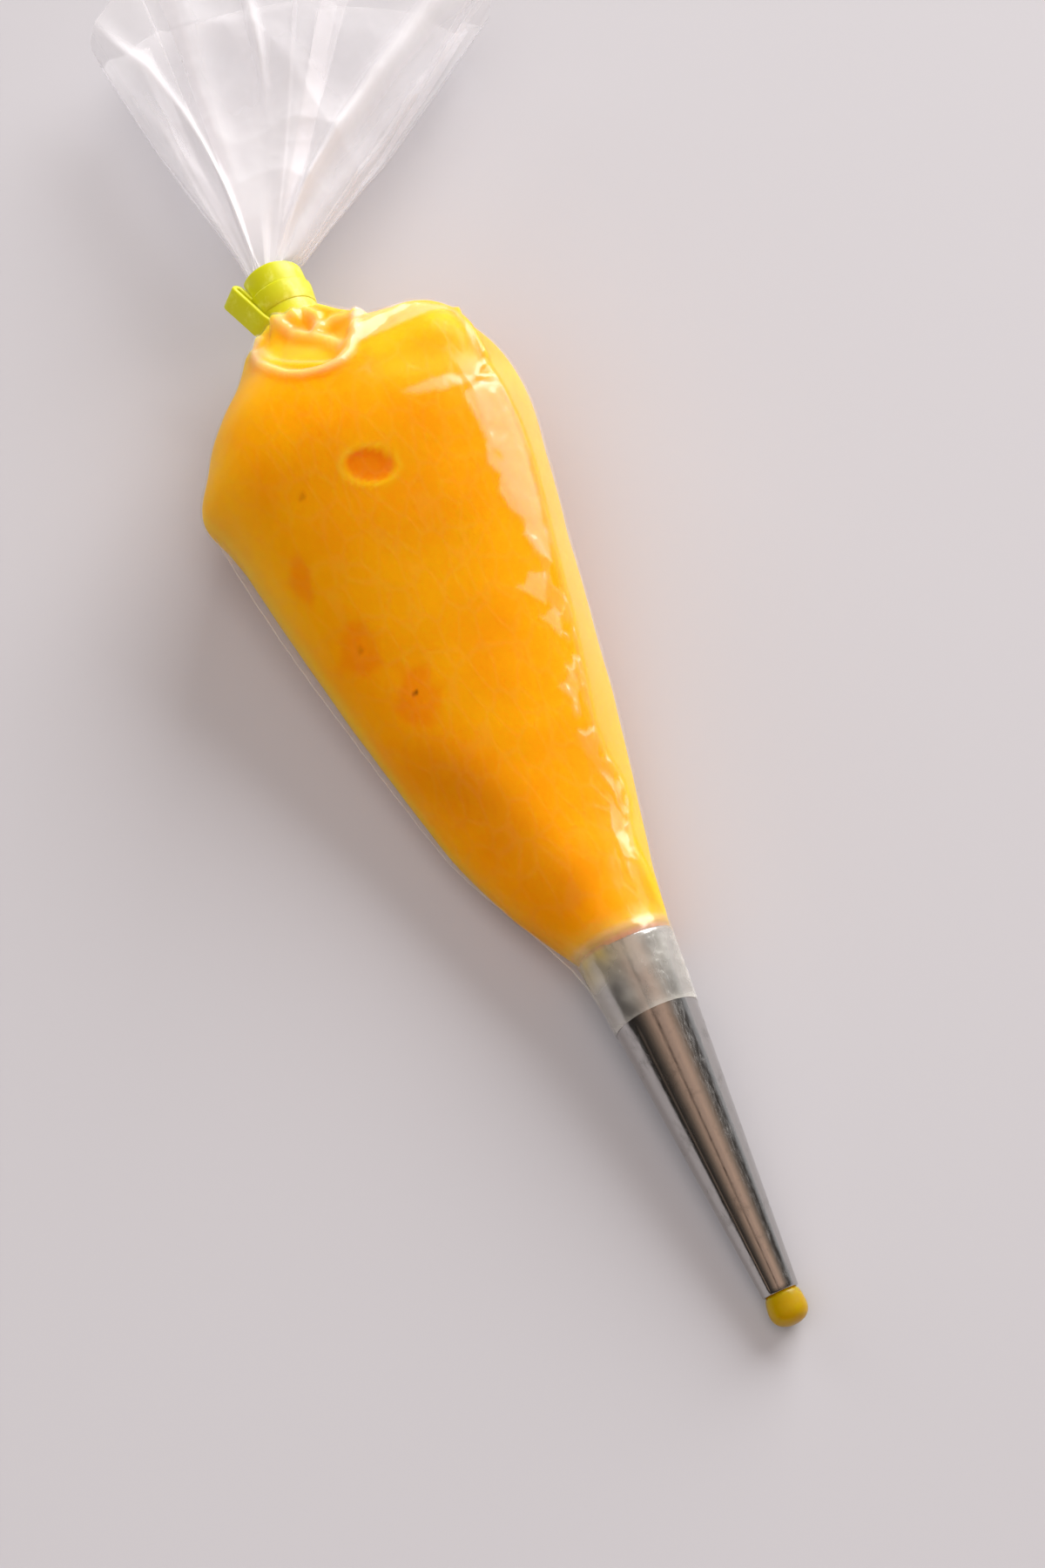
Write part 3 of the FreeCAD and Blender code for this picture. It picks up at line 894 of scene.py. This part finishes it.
def bagTail():
    heading = math.radians(tail["heading"])
    turn = 2 * np.pi * np.arange(tail["columns"]) / tail["columns"]
    # how the film crowds: more of it in the folds
    sideways = np.cos(turn + 0.14 * np.sin(7 * turn + 0.6) + 0.08 * np.sin(17 * turn))
    upperEdge = np.sin(turn) >= 0
    fan = np.arctan(math.tan(math.radians(tail["halfFan"])) * sideways)
    outward = np.stack([-np.cos(heading + fan), np.sin(heading + fan)], axis=1)
    apex = np.array(tail["apex"])
    rel = apex - np.array(tail["mouthCentre"])
    b = (outward * rel).sum(1)
    reachAt = -b + np.sqrt(b ** 2 - (rel ** 2).sum() + tail["mouthRadius"] ** 2)
    hem = 1.0 + 0.035 * upperEdge * np.abs(np.sin(turn)) ** 0.5
    hem = hem + 0.02 * np.sin(3 * turn + 1) + 0.012 * np.sin(11 * turn)
    startAt = tail["startAt"] / np.cos(fan)
    crown = np.sqrt(np.clip(1 - sideways ** 2, 0, 1))
    rows = []
    for x in np.linspace(-80.5, -85.2, 8):
        rows.append([np.full_like(turn, x), neckAt[1] + 4.7 * np.cos(turn), neckAt[2] + 4.7 * np.sin(turn)])
    inTie = len(rows)
    for i in range(tail["rows"]):
        t = i / (tail["rows"] - 1)
        out = startAt + (reachAt * hem - startAt) * t
        settle = step(0.0, 0.06, t)
        halfHeight = 4.7 + 7.9 * step(0.0, 0.7, t)
        middle = neckAt[2] - 5.6 * step(0.02, 0.6, t)
        x = apex[0] + outward[:, 0] * out
        y = apex[1] + outward[:, 1] * out
        y = (neckAt[1] + 4.7 * np.cos(turn)) * (1 - settle) + y * settle
        x = (tieBand["back"] - 0.4) * (1 - settle) + x * settle
        # the film turns outward just behind the tie
        behind = tieBand["back"] - 0.4 - x
        x = tieBand["back"] - 0.4 - (behind + np.sqrt(behind ** 2 + 0.3)) / 2
        rows.append([x, y, middle + np.where(upperEdge, 1, -1) * halfHeight * crown])
    grid = np.array(rows).transpose(0, 2, 1).copy()
    t = np.concatenate([np.zeros(inTie), np.linspace(0, 1, tail["rows"])])[:, None]
    q = sideways[None, :]
    upper = upperEdge[None, :]
    turnAll = turn[None, :]
    # pleats: many fine ones at the tie that merge into a few broad folds
    fine = np.abs(((turnAll * 15 / (2 * np.pi) + 0.25 * np.sin(3 * turnAll)) % 1) - 0.5) * 4 - 1
    broad = np.sin(5 * turnAll + 0.9 * np.sin(2 * turnAll) + 1.2 * t)
    lift = 0.45 * fine * near(t, 0.07, 0.09) + 1.3 * broad * step(0.1, 0.7, t)
    crest = np.zeros_like(lift)
    for place, drift, height, width, since, until, milkAndSheen in tail["crests"]:
        wander = place + drift * (t - 0.6) + 0.04 * np.sin(5 * t + place * 9)
        fading = step(since - 0.1, since + 0.2, t) * (1 - 0.75 * step(until - 0.1, until + 0.15, t))
        lift = lift + np.where(upper, height, 0.25 * height) * near(q, wander, width) * fading
        crest = crest + milkAndSheen * near(q, wander, width * 0.9) * np.where(upper, 1.0, 0.4) * fading
    flat = grid.reshape(-1, 3)
    crumple = creased(flat * np.array([0.8, 1.0, 0.5]), 34.0, 51, 2).reshape(grid.shape[:2])
    small = creased(flat, 9.0, 61, 2).reshape(grid.shape[:2])
    lift = lift + step(0.03, 0.3, t) * (2.6 * crumple ** 1.5 + 0.2 * small ** 2 - 1.0)
    lift = lift * np.where(upper, 1.0, 0.45)
    grid[..., 2] += lift
    under = grid[..., 2] - tail["floorGap"]
    grid[..., 2] = tail["floorGap"] + (under + np.sqrt(under ** 2 + 1.2)) / 2
    made = meshObject("bagTail", grid, gridFaces(len(grid), tail["columns"]), tailFilm)
    clouds = perlin(flat / 16.0, 71).reshape(grid.shape[:2])
    haze = 0.75 * step(0.75, 0.0, t) * (1 - 0.55 * np.abs(q)) + 0.30 * crumple + 0.25 * clouds
    haze = haze * (0.55 + 0.45 * upper) * (1 - 0.5 * step(0.55, 0.9, q)) + crest * (0.8 + 0.2 * small)
    hemMilk = 0.12 * step(0.985, 1.0, t)
    storeMask(made, "haze", np.clip((haze + hemMilk) * np.ones_like(grid[..., 0]), 0, 1))
    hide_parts("bag_tail")
    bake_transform(made)
    return made


tailPiece = bagTail()
print("tail made")


# the tie
strap = dict(
    middle=(-78.75, -17.9, 21.6),
    length=(0.937, 0.330, 0.115),
    outward=(0.19, -0.75, 0.64),
    width=5.4,
    bend=0.95,
    front=6.2,
    back=-4.7,
)


# Rounded strip outline: first number across the band, second through it
def bandSection(width, thickness, radius):
    outline = []
    for cx, cy, first in ((1, 1, 0), (-1, 1, 90), (-1, -1, 180), (1, -1, 270)):
        for k in range(5):
            a = math.radians(first + 22.5 * k)
            across = cx * (width / 2 - radius) + radius * math.cos(a)
            through = cy * (thickness / 2 - radius) + radius * math.sin(a)
            outline.append((across, through))
    return np.array(outline)


# Sweeps the strip along a path, with the directions across and through it at each point
def bandAlong(name, path, across, through, width):
    outline = bandSection(width, tieBand["thickness"], tieBand["edgeRound"])
    grid = path[:, None, :] + across[:, None, :] * outline[None, :, 0:1]
    grid = grid + through[:, None, :] * outline[None, :, 1:2]
    rows, columns = grid.shape[:2]
    faces = gridFaces(rows, columns)
    points = np.concatenate([grid.reshape(-1, 3), [path[0], path[-1]]])
    for j in range(columns):
        k = (j + 1) % columns
        faces.append((rows * columns, k, j))
        faces.append((rows * columns + 1, (rows - 1) * columns + j, (rows - 1) * columns + k))
    made = meshObject(name, points, faces, limeSilicone, "tie")
    return made


def unit(v):
    return v / np.maximum(np.linalg.norm(v, axis=-1, keepdims=True), 1e-9)


def tieTurns():
    turns = np.linspace(0, tieBand["turns"], tieBand["steps"])
    angle = 2 * np.pi * turns + 2.3
    # the first turn stands square against the filling, the next ones work back and lean
    front = tieBand["front"] - tieBand["width"] / 2
    back = tieBand["back"] + tieBand["width"] / 2
    x = front + (back - front) * np.clip((turns - 0.95) / 1.95, 0, 1)
    x = x + tieBand["lean"] * (1 - np.cos(angle)) / 2 * step(1.3, 1.7, turns) * step(2.6, 2.2, turns)
    over = step(0.95, 1.3, turns) * step(2.5, 2.1, turns)
    radius = 5.85 + 0.38 * over + 0.1 * step(2.1, 2.6, turns)
    path = np.stack([x, neckAt[1] + radius * np.cos(angle), neckAt[2] + radius * np.sin(angle)], axis=1)
    through = unit(np.stack([0.10 * over, np.cos(angle), np.sin(angle)], axis=1))
    forward = unit(np.gradient(path, axis=0))
    across = unit(np.cross(through, forward))
    made = bandAlong("tieTurns", path, across, through, tieBand["width"])
    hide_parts("tie_turns")
    return made


# The slack loop: out along the strap, round its end and back underneath
def tieLoop():
    lengthDir = unit(np.array(strap["length"]))
    outward = np.array(strap["outward"])
    outward = unit(outward - (outward @ lengthDir) * lengthDir)
    bend, depth = strap["bend"], tieBand["thickness"] / 2
    places = [(strap["front"] + 0.9, 1.5), (strap["front"], 0.45)]
    places += [(s, 0.0) for s in (4.6, 2.4, 0.2, -2.0)] + [(strap["back"] + 0.8, 0.0)]
    for k in range(9):
        a = math.pi * k / 8
        places.append((strap["back"] - bend * math.sin(a), bend - bend * math.cos(a)))
    places += [(s, 2 * bend) for s in (-2.6, 0.0, 2.6)]
    path = np.array([np.array(strap["middle"]) + lengthDir * s - outward * (depth + v) for s, v in places])
    path = resample(path, 120)
    forward = unit(np.gradient(path, axis=0))
    across = np.broadcast_to(np.cross(lengthDir, outward), path.shape)
    through = unit(np.cross(forward, across))
    made = bandAlong("tieLoop", path, across, through, strap["width"])
    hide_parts("tie_loop")
    return made


tieTurns()
tieLoop()
print("tie made")

# the nozzle and the bead
nozzleLook = dict(columns=192, rows=90, lapHeight=0.09)


# A thin cone with rounded ends and the fine step of its lap seam
def nozzlePiece():
    length = nozzleSize["length"]
    wide, narrow = nozzleRadius(0), nozzleRadius(length)
    outer = [(s, nozzleRadius(s)) for s in np.linspace(0.3, length - 0.25, nozzleLook["rows"])]
    inner = [(s, r - nozzleSize["wall"]) for s, r in reversed(outer)]
    front = [(length - 0.05, narrow - 0.1), (length, narrow - 0.22), (length - 0.05, narrow - 0.36)]
    back = [(0.08, wide - 0.36), (0.0, wide - 0.22), (0.08, wide - 0.08)]
    profile = outer + front + inner + back
    angle = 2 * np.pi * np.arange(nozzleLook["columns"]) / nozzleLook["columns"]
    seam = np.mod(angle - math.radians(128), 2 * np.pi)
    lap = nozzleLook["lapHeight"] * step(0.30, 0.0, seam) * step(0.0, 0.02, seam)
    grid = np.zeros((len(profile), len(angle), 3))
    for i, (station, radius) in enumerate(profile):
        outside = i < len(outer)
        r = radius + (lap * step(15.5, 18.0, station) if outside else 0 * lap)
        grid[i] = [onAxis(station, k * math.cos(a), k * math.sin(a)) for k, a in zip(r, angle)]
    faces = gridFaces(len(profile), len(angle))
    first, last = 0, (len(profile) - 1) * len(angle)
    for j in range(len(angle)):
        k = (j + 1) % len(angle)
        faces.append((last + j, last + k, first + k, first + j))
    made = meshObject("nozzleCone", grid, faces, drawnSteel, "nozzle")
    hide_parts("nozzle")
    return made


# A bead of filling that has slumped out of the mouth, on the stem behind it
def beadPiece():
    mouth = nozzleSize["length"]
    # places along the axis from the mouth, with the radius there
    stem = [(-12.8, 0.05), (-12.6, 2.3), (-12.0, 2.65), (-4.0, 2.7), (-0.8, 2.72)]
    drop = [(0.05, 3.1), (0.5, 3.4), (1.3, 3.6), (2.4, 3.7), (3.4, 3.72), (4.4, 3.58), (5.3, 3.15)]
    drop += [(6.0, 2.45), (6.4, 1.6), (6.6, 0.7), (6.63, 0.03)]
    table = resample([(mouth + station, radius) for station, radius in stem + drop], 120)
    angle = 2 * np.pi * np.arange(72) / 72
    grid = np.zeros((len(table), len(angle), 3))
    for i, (station, radius) in enumerate(table):
        ahead = step(mouth - 0.5, mouth + 3.0, station)
        for j, a in enumerate(angle):
            sag = -0.30 * ahead
            low = 1.0 + 0.06 * ahead * max(0.0, -math.sin(a))
            aside = radius * math.cos(a) * (1 + 0.05 * ahead)
            grid[i, j] = onAxis(station, aside, radius * math.sin(a) * low + sag)
    grid[..., 2] = np.maximum(grid[..., 2], 0.5 + 0.25 * (grid[..., 2] - 0.5))
    flat = grid.reshape(-1, 3)
    grid += 0.06 * gridNormals(grid) * perlin(flat / 2.1, 71).reshape(len(table), -1)[..., None]
    made = meshObject("curdBead", grid, gridFaces(len(table), len(angle)), shadedBeadCurd, "bead")
    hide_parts("filling_bead")
    return made


nozzlePiece()
beadPiece()
core = nodes["filling_core"]
for k in range(len(core.material_slots)):
    core.material_slots[k].material = curd
print("nozzle and bead made")

# floor, light and camera
studio = dict(
    floorColor=(0.535, 0.525, 0.555, 1.0),
    eye=(0.2523, -0.0967, 0.5841),
    lookAt=(0.0357, -0.0030, 0.0),
    lens=70.0,
)


def floor():
    made, tree, surface, output = newMaterial("paleFloor")
    surface.inputs["Base Color"].default_value = studio["floorColor"]
    surface.inputs["Roughness"].default_value = 0.6
    surface.inputs["Specular IOR Level"].default_value = 0.15
    mesh = bpy.data.meshes.new("floor")
    half = 3.0
    corners = [(-half, -half, 0), (half, -half, 0), (half, half, 0), (-half, half, 0)]
    mesh.from_pydata(corners, [], [(0, 1, 2, 3)])
    mesh.materials.append(made)
    plane = bpy.data.objects.new("floor", mesh)
    bpy.context.scene.collection.objects.link(plane)


def areaLight(name, direction, distance, size, power, color, mirrored=True):
    light = bpy.data.lights.new(name, "AREA")
    light.shape = "RECTANGLE"
    light.size, light.size_y = size
    light.energy = power
    light.color = color
    made = bpy.data.objects.new(name, light)
    place = Vector(direction).normalized() * distance
    made.location = place
    made.visible_glossy = mirrored
    made.rotation_euler = (-place).to_track_quat("-Z", "Y").to_euler()
    bpy.context.scene.collection.objects.link(made)


# A dim warm ceiling, dark low on one side and pale low on the other
def world():
    made = bpy.data.worlds.new("studioAir")
    made.use_nodes = True
    bpy.context.scene.world = made
    tree = made.node_tree
    tree.nodes.clear()
    output = tree.nodes.new("ShaderNodeOutputWorld")
    place = put(tree, "TexCoord").outputs["Generated"]
    axes = put(tree, "SeparateXYZ", Vector=place).outputs
    ramp = put(tree, "ValToRGB", Fac=axes["Z"])
    stops = ramp.color_ramp.elements
    stops[0].position, stops[0].color = 0.42, (0.05, 0.043, 0.038, 1)
    stops[1].position, stops[1].color = 1.0, (0.63, 0.45, 0.36, 1)
    between = {0.58: (0.09, 0.075, 0.065), 0.72: (0.20, 0.155, 0.125)}
    between.update({0.85: (0.45, 0.325, 0.25), 0.97: (0.84, 0.575, 0.44)})
    for position, color in between.items():
        stops.new(position).color = (*color, 1)
    # a thin beam across the ceiling
    ratio = maths(tree, "DIVIDE", axes["Y"], maths(tree, "MAXIMUM", axes["Z"], 0.05))
    off = maths(tree, "ABSOLUTE", maths(tree, "ADD", ratio, 0.2))
    beam = spread(tree, off, 0.02, 0.09, 0.06, 1.0)
    leaning = maths(tree, "MULTIPLY_ADD", axes["Y"], 0.22)
    leaning.node.inputs[2].default_value = 0.85
    scale = dict(operation="SCALE")
    glow = maths(tree, "MULTIPLY", beam, leaning)
    ceiling = put(tree, "VectorMath", scale, i0=ramp.outputs[0], Scale=glow)
    nearFloor = spread(tree, axes["Z"], 0.10, 0.36, 1.0, 0.0)
    low = maths(tree, "MULTIPLY", nearFloor, spread(tree, axes["Y"], -0.35, 0.4))
    paleLight = put(tree, "VectorMath", scale, i0=(0.40, 0.41, 0.43), Scale=low)
    total = put(tree, "VectorMath", dict(operation="ADD"), i0=ceiling.outputs[0], i1=paleLight.outputs[0])
    air = put(tree, "Background", Color=total.outputs[0], Strength=1.0)
    tree.links.new(air.outputs[0], output.inputs["Surface"])


def camera():
    lens = bpy.data.cameras.new("camera")
    lens.lens = studio["lens"]
    lens.sensor_width = 36.0
    lens.clip_start = 0.01
    made = bpy.data.objects.new("camera", lens)
    made.location = studio["eye"]
    aim = Vector(studio["lookAt"]) - Vector(studio["eye"])
    made.rotation_euler = aim.to_track_quat("-Z", "Y").to_euler()
    bpy.context.scene.collection.objects.link(made)
    bpy.context.scene.camera = made


floor()
areaLight("window", (-0.54, 0.73, 0.45), 3.0, (2.6, 2.2), 140.0, (1.0, 0.995, 0.985))
areaLight("fill", (0.1, -0.35, 1.0), 3.0, (4.0, 4.0), 56.0, (0.99, 0.99, 1.0), mirrored=False)
areaLight("side", (-1.0, -0.5, 0.35), 3.0, (1.6, 1.6), 17.0, (1.0, 0.99, 0.97), mirrored=False)
world()
camera()
view = bpy.context.scene.view_settings
view.view_transform = "Standard"
view.look = "None"
bpy.context.scene.cycles.transparent_max_bounces = 24
print("stage made")
